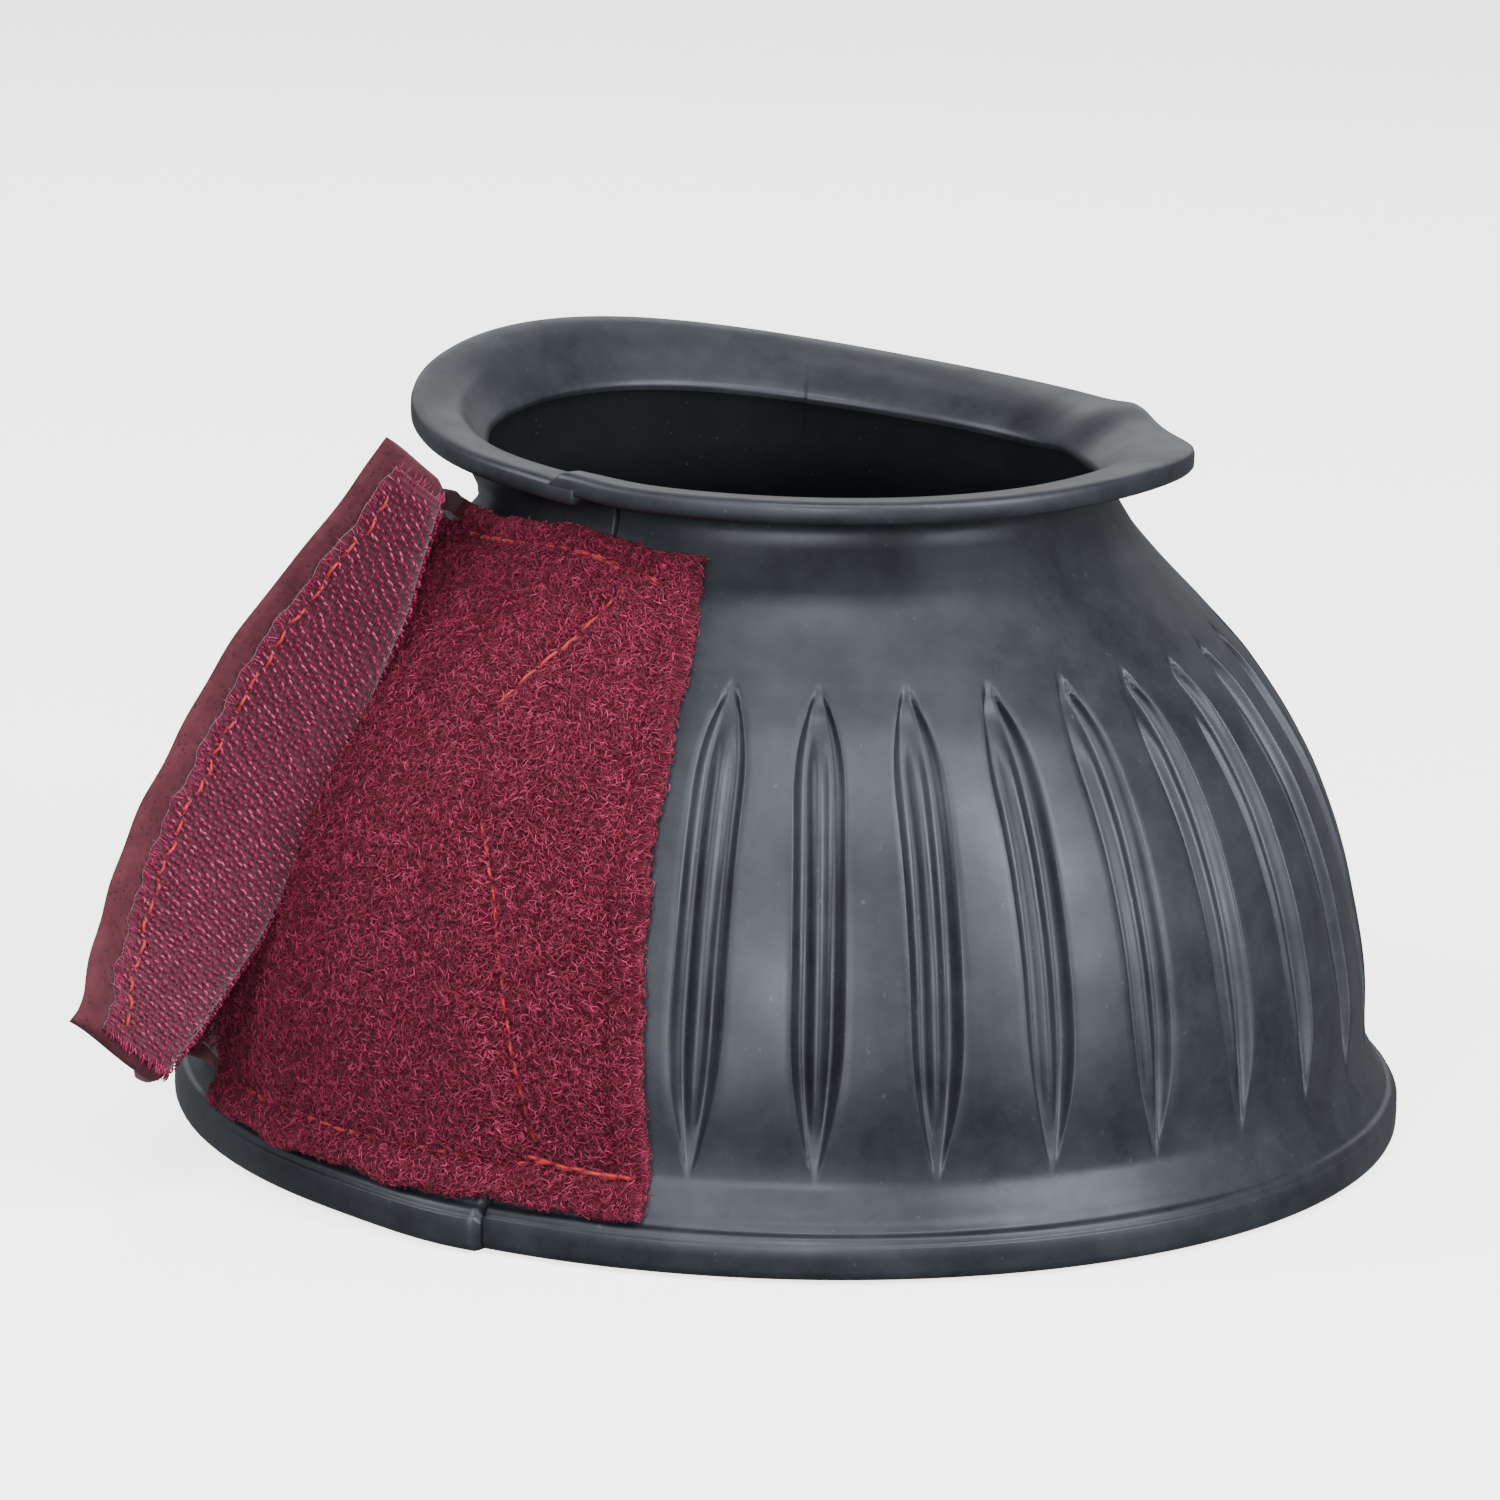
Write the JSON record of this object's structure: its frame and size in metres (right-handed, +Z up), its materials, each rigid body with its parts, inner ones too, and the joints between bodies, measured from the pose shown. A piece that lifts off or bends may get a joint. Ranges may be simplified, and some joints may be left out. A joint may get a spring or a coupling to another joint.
{
  "type": "bell boot",
  "caption": "Fluted rubber bell boot for a horse's hoof, flared collar, split front closed by a felt loop tab under a hook flap, shown folded open.",
  "frame": {"origin": "centre of the bottom rim, on the surface the boot stands on", "axes": "+Z up along the bell's axis, -Y towards the front, with the closure between -Y and -X"},
  "size_m": [0.2021, 0.194, 0.1092],
  "materials": {
    "moulded_rubber": "moulded satin charcoal rubber, fluted",
    "loop_felt": "curly loop-pile felt, maroon",
    "hook_tape": "woven hook tape in slanted rows, dusty maroon",
    "flap_backing": "suede-like foam-backed strip, dusty rose",
    "red_thread": "red polyester sewing thread"
  },
  "bodies": {
    "shell": {"bell_shell": "moulded_rubber", "base_hook_tape": "hook_tape", "base_stitching": "red_thread", "tab_root_inner": "loop_felt", "tab_root_outer": "loop_felt", "anchor_stitching": "red_thread", "flap_root": "flap_backing"},
    "tab": {"tab_inner_loop": "loop_felt", "tab_outer_loop": "loop_felt", "tab_edge_stitching": "red_thread"},
    "flap": {"flap_hook_tape": "hook_tape", "flap_backing": "flap_backing", "flap_stitching": "red_thread"}
  },
  "joints": [
    {"name": "flap_fold", "type": "hinge", "parent": "shell", "child": "flap", "pos_m": [-0.08689, -0.06313, 0.01441], "axis": [0.3447, 0.2504, 0.9047], "range_deg": [-60, 100], "deforming": ["flap_root"]},
    {"name": "tab_peel", "type": "hinge", "parent": "shell", "child": "tab", "pos_m": [-0.04429, -0.09843, 0.01285], "axis": [0.0636, 0.4513, 0.8901], "range_deg": [0, 110], "deforming": ["tab_inner_loop", "tab_outer_loop", "tab_edge_stitching"]}
  ]
}
